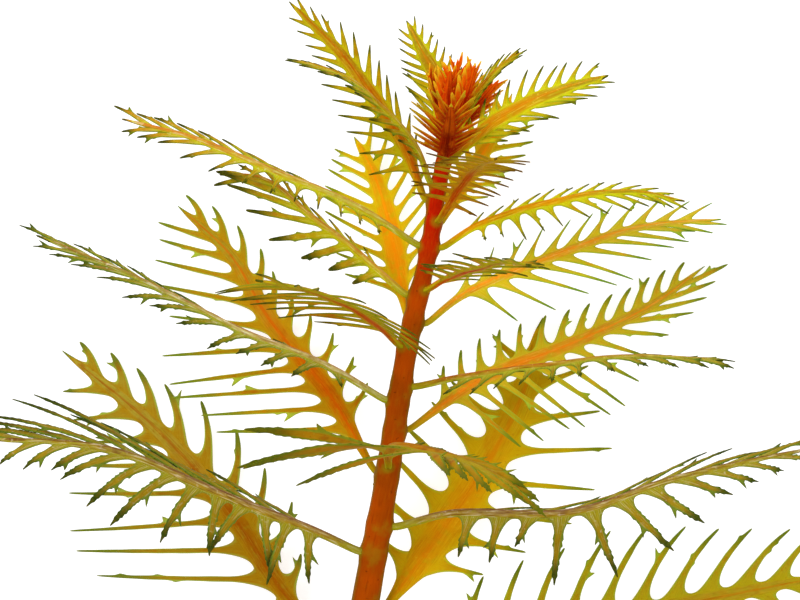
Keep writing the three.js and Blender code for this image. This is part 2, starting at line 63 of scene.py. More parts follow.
table_mesh = bmesh.new()
bmesh.ops.create_grid(table_mesh, x_segments=1, y_segments=1, size=TABLE_REACH)
table = make_piece("table", table_mesh)

table_white = bpy.data.materials.new("table_white")
table_white.use_nodes = True
table_paint = table_white.node_tree.nodes["Principled BSDF"]
table_paint.inputs["Base Color"].default_value = (0.5, 0.5, 0.5, 1)
table_paint.inputs["Roughness"].default_value = 0.8
table_paint.inputs["Specular IOR Level"].default_value = 0.1
table_paint.inputs["Emission Color"].default_value = (1, 1, 1, 1)
table_paint.inputs["Emission Strength"].default_value = 0.72
table.data.materials.append(table_white)

# The sky is brightest overhead, so that round pieces darken towards their edges.
sky = bpy.data.worlds.new("sky")
sky.use_nodes = True
sky_nodes = sky.node_tree.nodes
direction = sky_nodes.new("ShaderNodeTexCoord")
upward = sky_nodes.new("ShaderNodeSeparateXYZ")
glow = sky_nodes.new("ShaderNodeMapRange")
glow.inputs["To Min"].default_value = HORIZON_GLOW
glow.inputs["To Max"].default_value = OVERHEAD_GLOW
sky.node_tree.links.new(direction.outputs["Generated"], upward.inputs["Vector"])
sky.node_tree.links.new(upward.outputs["Z"], glow.inputs["Value"])
sky.node_tree.links.new(glow.outputs["Result"], sky_nodes["Background"].inputs["Strength"])
sky_nodes["Background"].inputs["Color"].default_value = (1, 1, 1, 1)
bpy.context.scene.world = sky
bpy.context.scene.view_settings.view_transform = "Standard"

for name, place, size, power in (
    ("key_box", (-0.35, 0.3, 0.55), 0.35, 3.0),
    ("fill_box", (0.5, -0.2, 0.45), 0.5, 1.2),
):
    lamp = bpy.data.lights.new(name, "AREA")
    lamp.shape = "DISK"
    lamp.size = size
    lamp.energy = power
    box = bpy.data.objects.new(name, lamp)
    box.location = place
    box.rotation_euler = (LIT_PLACE - Vector(place)).to_track_quat("-Z", "Y").to_euler()
    bpy.context.scene.collection.objects.link(box)

camera_data = bpy.data.cameras.new("camera")
camera_data.lens = 90
camera_data.sensor_width = 36
camera_data.clip_start = 0.01
camera = bpy.data.objects.new("camera", camera_data)
camera.location = CAMERA_PLACE
bpy.context.scene.collection.objects.link(camera)
bpy.context.scene.camera = camera

# The stem
# One round, red stem grew from the cut end to the growing point. It swells at each leaf, where a
# small green cushion holds the leaf's foot, and its skin has fine ridges along it.

# The middle of the shoot's outline from above: the origin lies under it.
BOX_MIDDLE = Vector((2.94, 15.77, 0.0))
# The stem's axis from the cut end to the growing point, with its radius at each point.
STEM_POINTS = (
    (-9.8, -38.0, 1.75, 1.75),
    (-7.0, -18.0, 3.4, 1.75),
    (-3.9, 0.0, 7.2, 1.65),
    (-1.9, 11.5, 9.6, 1.42),
    (-0.8, 18.5, 10.9, 1.33),
    (0.8, 28.8, 12.6, 1.18),
    (2.3, 35.7, 13.4, 1.05),
    (3.3, 40.3, 13.9, 1.0),
    (4.0, 44.9, 14.3, 0.92),
    (4.8, 49.5, 14.7, 0.85),
    (5.7, 54.0, 15.0, 0.6),
    (6.1, 56.5, 15.2, 0.3),
)
STEM_SIDES = 28
STEM_RINGS = 150
CUSHION_HEIGHT = 0.3
CUSHION_SPREAD = 0.85
NODE_BULGE = 0.07  # share of the radius by which the stem swells at a leaf
NODE_REACH = 0.9  # how far along the stem that goes
LOWEST_SKIN = 0.02
# The dished cut, ring by ring from its rim: how far in, how far down, and how pale.
CUT_RINGS = ((0.16, -0.02, 0.25), (0.5, -0.12, 0.6), (0.7, -0.1, 0.95))


def ease(value, low, high):
    """0 below low, 1 above high, and a smooth rise between."""
    share = min(max((value - low) / (high - low), 0.0), 1.0)
    return share * share * (3 - 2 * share)


def blend(a, b, share):
    """a where the share is 0, b where it is 1."""
    return a + (b - a) * share


class Path:
    """A smooth curve through given points, as a grown stem or midrib bends."""

    STEPS = 40  # from each given point to the next
    NEARBY = 1e-4  # share of the curve ahead and behind, to measure its heading

    def __init__(self, points):
        self.points = [Vector(p) for p in points]
        count = self.STEPS * (len(self.points) - 1)
        self.places = [self.at_share(i / count) for i in range(count + 1)]
        self.run = [0.0]
        for a, b in zip(self.places, self.places[1:]):
            self.run.append(self.run[-1] + (b - a).length)
        self.length = self.run[-1]

    def at_share(self, share):
        """The place at a share of the points' count, on a curve that takes uneven gaps smoothly."""
        points = self.points
        spot = share * (len(points) - 1)
        i = min(int(spot), len(points) - 2)
        t = spot - i
        p1, p2 = points[i], points[i + 1]
        p0 = points[i - 1] if i > 0 else p1 * 2 - p2
        p3 = points[i + 2] if i + 2 < len(points) else p2 * 2 - p1
        gap0, gap1, gap2 = (math.sqrt((b - a).length) for a, b in ((p0, p1), (p1, p2), (p2, p3)))
        start = ((p1 - p0) / gap0 - (p2 - p0) / (gap0 + gap1) + (p2 - p1) / gap1) * gap1
        end = ((p2 - p1) / gap1 - (p3 - p1) / (gap1 + gap2) + (p3 - p2) / gap2) * gap1
        bend = (p2 - p1) * 3 - start * 2 - end
        twist = (p1 - p2) * 2 + start + end
        return p1 + start * t + bend * t**2 + twist * t**3

    def heading(self, share):
        """The way the curve goes there, as a unit."""
        ahead = self.at_share(min(share + self.NEARBY, 1))
        behind = self.at_share(max(share - self.NEARBY, 0))
        return (ahead - behind).normalized()

    def spot_at(self, distance):
        """The place and heading at a distance along the curve."""
        distance = min(max(distance, 0.0), self.length)
        i = max(k for k in range(len(self.run) - 1) if self.run[k] <= distance)
        step = self.run[i + 1] - self.run[i]
        share = (i + (distance - self.run[i]) / step) / (len(self.run) - 1)
        return self.at_share(share), self.heading(share)


stem_path = Path([p[:3] for p in STEM_POINTS])


def stem_share_at(height):
    """The share of the stem's points at which it is a given height up."""
    low, high = 0.0, 1.0
    while high - low > 1e-6:
        middle = (low + high) / 2
        if stem_path.at_share(middle).y < height:
            low = middle
        else:
            high = middle
    return low


def stem_radius_at(share):
    """The stem's radius, between its points too, before it swells at the leaves."""
    spot = share * (len(STEM_POINTS) - 1)
    i = min(int(spot), len(STEM_POINTS) - 2)
    return blend(STEM_POINTS[i][3], STEM_POINTS[i + 1][3], spot - i)


def leaf_foot(height, first_point):
    """Where a leaf leaves the stem: the stem's axis there, the way out, and the stem's radius."""
    share = stem_share_at(height)
    axis = stem_path.at_share(share)
    heading = stem_path.heading(share)
    outward = Vector(first_point) - axis
    outward = (outward - heading * outward.dot(heading)).normalized()
    return axis, outward, stem_radius_at(share)


# One side's segments, in lists from the leaf's foot to its tip: their length, the degrees by which
# they spread from the midrib and rise out of the blade, and their breadth against the usual. The
# bend is one value for all of them, the degrees by which they set out wider than they end.
Side = namedtuple("Side", "reach sweep lift bend broad", defaults=((1, 1),))
# A leaf: how far up the shoot it leaves the stem, the midrib's points, where its upper side looks,
# half the blade's width, the pairs of segments, the finish and the two sides; then where the upper
# side looks at the tip, if that differs, and the degrees by which the segments twist.
Leaf = namedtuple("Leaf", "name height path face width pairs finish left right tip_face twist",
                  defaults=(None, 0))

LEAVES = (
    Leaf("leaf_01", -25, ((-16, -22.5, 10), (-26, -18, 14), (-34, -15.5, 15)),
         (0.3, 1, 0.3), 1, 9, "olive",
         Side((4, 8, 3), (90, 35), (-45, -20), -8),
         Side((5, 8, 4), (60, 25), (0, 0), 6)),
    Leaf("leaf_02", -19, ((8, -18, 9), (20, -15.5, 14), (31, -14.5, 17)),
         (0, 1, 0.4), 1, 9, "olive",
         Side((5, 8, 4), (60, 25), (0, 0), 6),
         Side((4, 8, 3), (90, 35), (-45, -20), -8)),
    Leaf("leaf_03", -13, ((12, -7, 2), (30.5, -3.1, 0.6), (45, -0.1, 0.1), (53, 1.4, 0.1)),
         (0, 0.1, 1), 1.5, 11, "ochre",
         Side((8, 12, 8), (60, 48, 38), (10, 0), 14, (1.4, 1.2)),
         Side((5, 8, 5), (58, 35), (0, 0), 12, (1.3, 1.3))),
    Leaf("leaf_04", -8.3, ((-13.5, -1, 3), (-20.5, 9, 0.6), (-30, 19.5, 0.1), (-41, 28.5, 0.1)),
         (0.1, 0, 1), 1.35, 9, "bracken",
         Side((13, 20, 21, 20, 17, 15, 10, 7.5, 7, 5), (58, 56, 54, 50, 46, 42), (0, 0), 2),
         Side((4, 7, 7, 8, 8, 7.5, 7, 6, 5, 4), (62, 55, 45, 30, 32, 26), (20, 5), 22, (1.6, 1.6))),
    Leaf("leaf_05", -3, ((3.5, 5, 4), (11.2, 16, 1.2), (15, 23.5, 0.2), (17.3, 32.5, 0.1)),
         (0, 0.2, 1), 2.4, 8, "tawny",
         Side((6, 8, 9, 9, 8, 7, 6, 5), (82, 80, 76, 60), (6, 0), 2, (1.3, 1.3)),
         Side((6, 8, 11, 12.5, 12.5, 9, 7, 5), (66, 64, 58, 50), (0, 0), 2, (1.1, 1.1))),
    Leaf("leaf_06", 5, ((-10, 8, 12.5), (-19, 12.3, 18), (-32, 18.3, 24), (-45, 19.5, 26)),
         (0.3, 1, 0.35), 0.75, 12, "olive",
         Side((6, 7.6, 6.8, 6.6, 7, 8.2, 9.6, 9.6, 7.4, 5.5, 5.2, 4.7),
              (109, 78, 118, 72, 94, 75, 60, 50, 40, 38, 40, 42), (-55, -30), -12, (1, 1, 0.7)),
         Side((8, 12, 15, 16, 12, 6), (18, 12, 9, 8), (5, 3), 2, (0.8, 0.8)),
         tip_face=(0.2, 0.9, 0.5)),
    Leaf("leaf_07", 8.4,
         ((6, 9.9, 12), (17.5, 10.4, 17), (22, 11.4, 18.3), (30, 14.6, 20.5), (46, 18.3, 22)),
         (-0.1, 1, 0.3), 0.6, 11, "olive",
         Side((5, 8, 9, 9, 8, 7), (28, 16, 10), (-14, 0), 3, (0.6, 0.6)),
         Side((5, 5.5, 3.6, 7.6, 8.4, 8, 7.4, 6, 5, 4.2, 3.7),
              (108, 104, 112, 90, 74, 58, 36, 28, 24, 16), (-60, -40), 0, (1, 1, 0.45)),
         tip_face=(-0.1, 0.9, 0.5)),
    Leaf("leaf_08", 14, ((-8.5, 23.5, 4.5), (-16, 32.5, 1.2), (-20.5, 40, 0.2), (-27, 46, 0.1)),
         (0.1, 0.1, 1), 1.3, 10, "amber",
         Side((15, 16, 17, 15, 14, 12, 12, 10.6, 8.2, 6.5),
              (60, 58, 56, 55, 54, 50, 48, 46, 36, 26), (0, 0), 2),
         Side((4, 4.4, 4, 4, 4.2, 4.4, 4.4, 4), (68, 66, 50, 32, 26, 20), (20, 5), 22, (1.3, 1.3))),
    Leaf("leaf_09", 15.5, ((-1, 18, 19), (3.5, 18.2, 27), (8.5, 17, 35), (12.5, 14.8, 39)),
         (0.1, 1, -0.15), 0.9, 9, "umber",
         Side((8, 9, 8, 6), (26, 18, 12), (-14, -6), 3, (0.8, 0.8)),
         Side((17, 21, 24, 21, 12, 11, 10, 9, 8), (84, 80, 74, 70, 24, 18, 15, 12, 10),
              (-3, -15, -12, -20, -20, -20, -20, -20, -20), 3, (1.5, 0.6)), twist=60),
    Leaf("leaf_10", 19.4, ((9, 24.8, 6.5), (21.5, 29.7, 2.8), (30.5, 34, 1), (37, 38.7, 0.1)),
         (0, 0.2, 1), 0.95, 13, "salmon",
         Side((3.5, 4, 4, 4, 4, 4.2, 4.2, 4, 4.2, 3.4), (58, 64, 68, 66, 60, 44, 38, 36, 36, 28),
              (10, 0), 16, (1.3, 1.3)),
         Side((9, 10.5, 10.5, 11, 11, 9, 6, 7, 8, 6.5, 6),
              (75, 65, 60, 58, 56, 50, 42, 24, 18, 16, 14), (0, 0), 2)),
    Leaf("leaf_11", 22.7, ((-8.5, 27, 15), (-18, 31, 17), (-28.5, 36.5, 19.5), (-40.5, 41.7, 20)),
         (0.4, 1, 0.1), 0.45, 12, "silver",
         Side((2, 5.5, 5, 5.4, 5.6, 6, 6.2, 6.4, 6.4, 6, 5),
              (120, 52, 58, 52, 42, 32, 26, 22, 18, 15), (-30, -15), -5, (0.8, 0.45)),
         Side((4, 5, 6), (30, 12, 10), (-8, 0), 3, (0.5, 0.5)), tip_face=(0.3, 0.8, 0.5)),
    Leaf("leaf_12", 24.7, ((7, 25.6, 15.5), (16, 27.1, 20), (25, 28.2, 22), (35.5, 27.8, 23)),
         (0, 1, 0.1), 0.3, 11, "russet",
         Side((2, 4, 6.5, 7, 6), (18, 11, 9), (-24, -10), 2, (0.5, 0.5)),
         Side((3.4, 3, 2.6, 2.4, 2.4, 2.6, 3.2, 4, 4.4, 4.4),
              (150, 135, 120, 100, 75, 50, 30, 20, 16), (-50, -20), -10, (0.8, 0.6)), twist=20),
    Leaf("leaf_13", 29.2,
         ((-2.5, 31.8, 18.5), (-6.5, 34.3, 23.5), (-11, 35.8, 27), (-15.5, 36.6, 29)),
         (0.1, 1, -0.2), 0.8, 10, "bronze",
         Side((6, 9, 9, 8, 6), (118, 112, 100, 70, 40), (-25, -20, -10), 3),
         Side((7.5, 9, 10, 10, 9, 7), (55, 48, 40), (-16, -12, -8), 3), twist=40),
    Leaf("leaf_14", 31.9, ((7, 34.9, 11.5), (18.5, 39.8, 9), (28, 43, 7.5), (38, 44, 6)),
         (0, 0.5, 0.9), 0.65, 11, "peach",
         Side((3.5, 5, 5.2, 4.4), (45, 36, 28), (25, 10), 3, (0.9, 0.9)),
         Side((5.9, 7.8, 9, 9.5, 8.8, 8, 7.6, 6, 5, 4), (64, 50, 46, 41, 37, 28, 20, 15, 12),
              (0, 0), 2, (1.2, 1.2))),
    Leaf("leaf_15", 32.2,
         ((-0.4, 39, 7.5), (-1.8, 45.5, 3.8), (-3.6, 50.7, 1.3), (-5.6, 54.3, 0.1)),
         (0, 0.45, 0.9), 1.4, 9, "honey",
         Side((6, 8.5, 4), (64, 35), (5, 0), 6),
         Side((5, 7, 4), (56, 35), (25, 5), 8)),
    Leaf("leaf_16", 34.7,
         ((-5, 40, 13.6), (-10.5, 44.3, 14.2), (-15.5, 48.3, 14), (-20.7, 48.8, 13.5)),
         (0.4, 0.5, 0.75), 0.5, 9, "sage",
         Side((3.8, 5, 7, 7.8, 8.6, 9, 8, 6, 4.5), (77, 67, 58, 42, 36, 28, 24, 20), (0, 0), 3,
              (1.5, 1.3)),
         Side((2, 2.6, 3, 3), (16, 12, 10), (20, 10), 3, (0.6, 0.8))),
    Leaf("leaf_17", 35.8, ((5.5, 37, 18.5), (8.8, 38, 25), (11, 38.5, 29.5), (13.8, 38.1, 33)),
         (0, 1, -0.2), 0.55, 9, "bronze",
         Side((4, 5, 5.5, 5.5, 5, 4), (70, 64, 58, 45), (0, 0), 3),
         Side((4, 6, 6, 5), (80, 70, 60), (0, 0), 3), twist=40),
    Leaf("leaf_18", 40.4, ((-5, 45, 17), (-14.5, 49, 19), (-22.5, 52.3, 20), (-31, 54.6, 20)),
         (0.3, 1, 0.05), 0.55, 12, "moss",
         Side((1.5, 1.7, 2, 2.2, 2.4, 3, 4.5, 5, 5, 4), (120, 110, 100, 90, 75, 50, 30, 22, 18),
              (-50, -20), -6, (0.8, 0.8)),
         Side((2.6, 3.6, 4.6, 4.6), (14, 14, 16), (0, 0), 3, (0.8, 0.8)),
         tip_face=(0.2, 0.5, 0.85)),
    Leaf("leaf_19", 40.6, ((9, 43, 15.5), (18, 45.7, 17), (25.5, 46.7, 17), (32.2, 45.6, 16.5)),
         (0, 0.8, 0.6), 0.65, 12, "gold",
         Side((2.2, 3, 2.8, 2.4), (40, 32, 22), (0, 0), 2, (1.2, 1.2)),
         Side((2, 2.6, 3.8, 4, 3.2, 4, 4.6, 4.6, 4, 3.4, 3),
              (98, 90, 75, 80, 52, 46, 32, 26, 22, 18), (-20, -10), 2, (1.2, 1.2))),
    Leaf("leaf_20", 43.2, ((8, 49, 10), (11.5, 54.5, 7), (13.3, 59, 5)),
         (0, 0.3, 1), 0.9, 8, "honey",
         Side((3, 5, 3), (56, 32), (10, 0), 6),
         Side((3, 5.5, 3), (56, 32), (0, 0), 6)),
    Leaf("leaf_21", 43.5, ((6.4, 46.7, 19.5), (8.3, 48.8, 26), (10.2, 49.3, 33)),
         (0, 1, -0.3), 0.6, 11, "flame",
         Side((4, 4.8, 4.6, 4), (108, 98, 80), (0, 0), 2, (1.2, 1.2)),
         Side((4.5, 6, 6, 5), (90, 78, 60), (0, 0), 2, (1.2, 1.2))),
    Leaf("leaf_22", 45.5, ((0.5, 52, 12.5), (-3.2, 58, 11), (-7, 63.2, 9.8), (-13, 69.3, 9)),
         (0.3, 0.2, 1), 1.05, 11, "apricot",
         Side((4.6, 4.8, 5, 5, 4.8, 4.5, 4, 3.2, 2.8, 2.4), (90, 68, 52, 46, 42, 38, 34, 30, 26),
              (0, 0), 2, (1.4, 1.4)),
         Side((2.6, 3.6, 4.2, 4.4, 4, 3.2, 2.4), (24, 30, 32, 28, 20, 14), (15, 0), -3,
              (1.4, 1.4))),
    Leaf("leaf_23", 47.5, ((1.5, 52, 17), (-2.2, 56, 19), (-6, 59, 21.5), (-11.6, 60.7, 23)),
         (0.3, 1, 0.2), 0.5, 11, "sage",
         Side((2.8, 4.6, 4.6, 4), (52, 34, 16), (-40, -15), 3),
         Side((2.5, 3.4, 3.4, 2.8), (30, 20, 12), (0, 0), 3)),
    Leaf("leaf_24", 50, ((5.4, 53, 19.6), (5.6, 55.9, 23.4)),
         (0, 0.8, -0.6), 0.9, 11, "ember",
         Side((3, 4.4, 4.6, 3.4), (48, 40, 28), (0, 0), 6, (1.4, 1.4)),
         Side((3.6, 5, 5, 3.6), (52, 40, 28), (0, 0), 6, (1.4, 1.4))),
    Leaf("leaf_25", 50.8, ((10.5, 54.3, 18), (16, 57, 20.8), (23, 59.2, 22)),
         (-0.3, 0.6, 0.7), 1.35, 10, "gold",
         Side((3, 3.6, 4, 3.8, 3), (66, 64, 58, 46), (10, 0), 3, (1.6, 1.4)),
         Side((4.5, 5.5, 6.2, 5.2, 3.6, 2.4), (48, 40, 32, 26, 20), (5, 0), 2, (1.6, 1.2))),
    Leaf("leaf_26", 51.7, ((4.6, 59, 12.5), (2.6, 62.8, 13.5), (0.7, 66.4, 14)),
         (0, 0, 1), 1.1, 10, "gold",
         Side((3.8, 4.2, 4, 3.4, 2.6, 1.8), (50, 48, 45, 36, 30), (0, 0), 3, (1.3, 1.3)),
         Side((3, 3, 2.8, 2.3, 2, 1.6), (36, 38, 42, 38, 30), (15, 0), 3, (1.3, 1.3))),
    Leaf("leaf_27", 53, ((8.3, 57.2, 16.2), (10.6, 60, 17), (13.4, 62.4, 17.5)),
         (-0.6, 0.7, 0.4), 0.7, 9, "apricot",
         Side((2.4, 3.4, 2.2), (40, 22), (0, 0), 4, (1.2, 1.2)),
         Side((2.4, 3.2, 2.2), (40, 22), (0, 0), 4, (1.2, 1.2))),
)

stem_mesh = bmesh.new()
stem_climb = stem_mesh.verts.layers.float.new("climb")
stem_green = stem_mesh.verts.layers.float.new("cushion")
stem_cut = stem_mesh.verts.layers.float.new("cut")
stem_flank_shade = stem_mesh.verts.layers.float.new("flank")
bark = stem_mesh.loops.layers.uv.new("fibres")
ring = bmesh.ops.create_circle(stem_mesh, cap_ends=False, radius=1.0, segments=STEM_SIDES)["verts"]
circle = [v.co.copy() for v in ring]
cushions = []
for leaf in LEAVES:
    axis, outward, radius = leaf_foot(leaf.height, leaf.path[0])
    cushions.append(axis + outward * radius)


def closeness(distance, spread):
    """1 at no distance, and softly less away from there."""
    return math.exp(-((distance / spread) ** 2))


def set_ring(verts, share):
    """Puts a ring of the stem in its place, round and square to the stem's line."""
    centre = stem_path.at_share(share)
    heading = stem_path.heading(share)
    across = Vector((0, 0, 1)).cross(heading).normalized()
    up = heading.cross(across)
    radius = stem_radius_at(share)
    for vertex, unit in zip(verts, circle):
        skin = across * unit.x + up * unit.y
        place = centre + skin * radius
        near = max(closeness((place - spot).length, CUSHION_SPREAD) for spot in cushions)
        node = max(closeness((place - spot).dot(heading), NODE_REACH) for spot in cushions)
        place += skin * (CUSHION_HEIGHT * near + NODE_BULGE * node * radius)
        place.z = max(place.z, LOWEST_SKIN)
        vertex.co = (place - BOX_MIDDLE) * MM
        vertex[stem_climb] = share
        vertex[stem_green] = near
        # How far round to its side, as seen from above, a vertex of the stem lies: there the skin
        # gets painted shade.
        vertex[stem_flank_shade] = abs(unit.x)


def extrude_row(mesh, verts, edges):
    """Extrudes a row; gives the new vertices in the order of the old, and the new faces."""
    grown = bmesh.ops.extrude_edge_only(mesh, edges=edges)["geom"]
    fresh = {item for item in grown if isinstance(item, bmesh.types.BMVert)}
    faces = [item for item in grown if isinstance(item, bmesh.types.BMFace)]
    new = [next(e.other_vert(v) for e in v.link_edges if e.other_vert(v) in fresh) for v in verts]
    return new, faces


set_ring(ring, 0.0)
for step in range(1, STEM_RINGS + 1):
    edges = [stem_mesh.edges.get(pair) for pair in zip(ring, ring[1:] + ring[:1])]
    old, (ring, faces) = ring, extrude_row(stem_mesh, ring, edges)
    set_ring(ring, step / STEM_RINGS)
    for face in faces:
        turns = [(old if loop.vert in old else ring).index(loop.vert) for loop in face.loops]
        for loop, turn in zip(face.loops, turns):
            wrapped = turn if turn or max(turns) < STEM_SIDES - 1 else STEM_SIDES
            loop[bark].uv = (wrapped / STEM_SIDES, (step - (loop.vert in old)) / STEM_RINGS)
growing_point = (stem_path.at_share(1.0) - BOX_MIDDLE) * MM
bmesh.ops.pointmerge(stem_mesh, verts=ring, merge_co=growing_point)

rim = [e for e in stem_mesh.edges if e.is_boundary]
cut_face = bmesh.ops.contextual_create(stem_mesh, geom=rim)["faces"]
for inwards, downwards, paleness in CUT_RINGS:
    bmesh.ops.inset_region(stem_mesh, faces=cut_face, thickness=inwards * MM, depth=downwards * MM,
                           use_even_offset=True)
    for vertex in cut_face[0].verts:
        vertex[stem_cut] = paleness
bmesh.ops.poke(stem_mesh, faces=cut_face)
bmesh.ops.recalc_face_normals(stem_mesh, faces=stem_mesh.faces)
for face in stem_mesh.faces:
    face.smooth = True
stem = make_piece("stem_skin", stem_mesh)


def paint(red, green, blue):
    """A colour given as 0 to 255 on a screen, in the shader's own scale."""
    parts = [value / 255 for value in (red, green, blue)]
    return (*[p / 12.92 if p <= 0.04045 else ((p + 0.055) / 1.055) ** 2.4 for p in parts], 1.0)


# Where the nodes used below keep an output or input that has to be picked by its place.
OBJECT_PLACE = 3
MARK_VALUE = 2
MIX_SHARE, MIX_BASE, MIX_TOP, MIX_COLOUR = 0, 6, 7, 2


class Signal:
    """A value in a material. Arithmetic on it adds Math nodes; node() adds any other node."""

    def __init__(self, tree, socket=None):
        self.tree, self.socket = tree, socket

    def node(self, kind, settings=None, sockets=None, output=0):
        node = self.tree.nodes.new(kind)
        for name, value in (settings or {}).items():
            setattr(node, name, value)
        for name, value in (sockets or {}).items():
            if isinstance(value, Signal):
                self.tree.links.new(value.socket, node.inputs[name])
            else:
                node.inputs[name].default_value = value
        return Signal(self.tree, node.outputs[output])

    def math(self, operation, *values):
        return self.node("ShaderNodeMath", {"operation": operation}, dict(enumerate(values)))

    def __add__(self, other):
        return self.math("ADD", self, other)

    def __mul__(self, other):
        return self.math("MULTIPLY", self, other)

    def __sub__(self, other):
        return self.math("SUBTRACT", self, other)

    def __rsub__(self, other):
        return self.math("SUBTRACT", other, self)

    __radd__ = __add__
    __rmul__ = __mul__

    def rise(self, low, high):
        """0 below low, 1 above high, smooth between."""
        sockets = {"Value": self, "From Min": low, "From Max": high}
        return self.node("ShaderNodeMapRange", {"interpolation_type": "SMOOTHSTEP"}, sockets)

    def tint(self, base, top):
        """base where this is 0, top where it is 1."""
        sockets = {MIX_SHARE: self, MIX_BASE: base, MIX_TOP: top}
        return self.node("ShaderNodeMix", {"data_type": "RGBA"}, sockets, output=MIX_COLOUR)

    def mark(self, name):
        """A value that the piece's mesh holds at each of its vertices."""
        return self.node("ShaderNodeAttribute", {"attribute_name": name}, output=MARK_VALUE)

    def noise(self, scale, detail, stretch=None):
        """Soft noise on the piece, or, with a stretch, along the fibres of its UV map."""
        if stretch:
            source = self.node("ShaderNodeUVMap", {"uv_map": "fibres"})
            source = self.node("ShaderNodeMapping", {}, {"Vector": source, "Scale": stretch})
        else:
            source = self.node("ShaderNodeTexCoord", output=OBJECT_PLACE)
        sockets = {"Vector": source, "Scale": scale, "Detail": detail}
        return self.node("ShaderNodeTexNoise", {}, sockets)


def new_material(name, roughness, subsurface):
    """A satin, slightly translucent plant skin; the caller adds what varies."""
    material = bpy.data.materials.new(name)
    material.use_nodes = True
    skin = material.node_tree.nodes["Principled BSDF"]
    skin.inputs["Roughness"].default_value = roughness
    skin.inputs["Subsurface Weight"].default_value = subsurface
    skin.inputs["Subsurface Radius"].default_value = (1.0, 0.6, 0.08)
    skin.inputs["Subsurface Scale"].default_value = 0.4 * MM
    skin.inputs["IOR"].default_value = 1.05
    skin.inputs["Specular Tint"].default_value = paint(255, 190, 70)
    return material, skin, Signal(material.node_tree)


stem_red, stem_skin, wire = new_material("stem_red", 0.4, 0.06)
# Each tint goes over those before it, where a mark or a noise rises between two values, and only
# as strongly as the factor after them.
climb = wire.mark("climb")
patches = wire.noise(150, 3)
fibres = wire.noise(1.0, 3, (34, 50, 1))
specks = wire.noise(1900, 1)
lower = patches.rise(0.35, 0.65).tint(paint(168, 66, 2), paint(142, 58, 2))
skin_colour = climb.rise(0.48, 0.72).tint(lower, paint(176, 26, 2))
skin_colour = (fibres.rise(0.5, 0.8) * 0.35).tint(skin_colour, paint(166, 86, 4))
skin_colour = ((1 - fibres).rise(0.55, 0.8) * 0.5).tint(skin_colour, paint(96, 30, 3))
skin_colour = (specks.rise(0.7, 0.78) * 0.5).tint(skin_colour, paint(64, 20, 4))
olive = wire.noise(420, 3).rise(0.5, 0.72) * (1 - climb.rise(0.3, 0.62))
skin_colour = (olive * 0.5).tint(skin_colour, paint(138, 104, 12))
# Painted shade: olive-brown on the stem's two sides, seen from above, where the round stem turns
# away from the light overhead.
flank = (wire.mark("flank") + (patches - 0.5) * 0.5).rise(0.72, 1.0) * 0.75
skin_colour = flank.tint(skin_colour, paint(116, 88, 5))
skin_colour = (wire.mark("cushion").rise(0.3, 0.9) * 0.6).tint(skin_colour, paint(128, 118, 14))
skin_colour = wire.mark("cut").rise(0.1, 0.4).tint(skin_colour, paint(186, 160, 70))
relief = fibres + patches * 0.4
bump = wire.node("ShaderNodeBump", {}, {"Strength": 0.5, "Distance": 0.08 * MM, "Height": relief})
stem_red.node_tree.links.new(skin_colour.socket, stem_skin.inputs["Base Color"])
stem_red.node_tree.links.new(bump.socket, stem_skin.inputs["Normal"])
stem.data.materials.append(stem_red)
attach(stem, "root")
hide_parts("stem")

# The leaves
# Each leaf grew as one soft blade: a midrib on a short green stalk, and a comb of narrow pointed
# segments along both sides. The older leaves are olive, with a ridged midrib and fine teeth on
# their segments; the younger ones are flatter and smooth, from amber to gold and red-brown.

LEAF_GAP = 0.4  # between the stem and the leaf's foot, bridged by the stalk
NODE_SWELLING = 0.12  # share of the stem's radius kept free for its swelling at a leaf
STALK_IN_STEM = 0.5
STALK_ROWS = (0.0, 0.04, 0.08)  # shares of the midrib's length, as the next four are
FIRST_SEGMENT = 0.12
BROADEST = 0.32
LAST_SEGMENT = 0.95
TIP_ROWS = ((0.965, 0.8), (0.98, 0.55), (0.992, 0.3))  # each with its share of the blade's width
TIP_NARROWING = 0.85  # share of the width lost at the tip
TIP_START, TIP_GAIN = 0.93, 30  # where the tip begins to look like a segment, and how soon it does
FOOT_HALF_WIDTH = 0.38
ACROSS = (-1.0, -0.7, -0.3, 0.0, 0.3, 0.7, 1.0)  # the seven vertices of a row of the blade
RIB_EDGES = (0.15, 0.6)  # the rib's top is inside the first, and the rib ends at the second
RIB_HEIGHTS = (1.0, 0.4)  # shares of the habit's ridge, at the foot and at the tip
STALK_NARROWING = 0.1
BLADE_WAVE, WAVE_TURN = 0.07, 0.9  # height, and how much of a wave goes by from row to row
TABLE_GAP = 0.03

# The thickest that a leaf gets; the others are shares of it, at the foot and tip if there are two.
STOUTEST = 0.9
STALK_STOUT = 0.8
RIB_STOUT = (0.95, 0.4)
BLADE_STOUT = 0.3
TIP_STOUT = 0.28
SEGMENT_STOUT = (0.3, 0.13)
STOUT_MIDDLE = 1.25  # how much stouter a segment is in its middle than at its margins
TOOTH_STOUT = 0.12
POINT_STOUT = 0.1

FOOT_ROWS = (0.05, 0.2, 0.45, 0.72, 1.0)  # shares of the web at a segment's foot
FULL_LENGTH, FULL_SPUR = 5, 6  # shorter segments are slimmer, and have smaller spurs
WIDEST_SHARE = 0.38  # share of the room between two segments that half of one can take
LONGEST_WEB = 0.5  # share of a segment's length that the web at its foot can take
LENGTH_STRAY, WIDTH_STRAY, DROOP = (0.94, 1.03), (0.88, 1.12), (-0.05, 0.03)
ARCH = 0.06  # share of a segment's length by which it arches
TWIST_SPAN = (0.1, 0.6)  # shares of its length between which it twists
TOOTH_STEP = 0.7
FEWEST_STEPS, MOST_STEPS = 4, 14
POINT_STEP = 0.4  # the last step's length against the others'
TOOTH_SIZES, SPUR_SIZES = (0.16, 0.34), (0.9, 1.8)
TOOTH_LEAN = 1.1  # how far a tooth leans towards the point, against its size
TOOTH_OUT = 1.8  # so far out that a tooth has the colour of a segment's point
SPUR_REACH = 0.6  # share of a segment's steps on which a spur can stand
SPURS_ON_FIRST_EDGE = 0.75

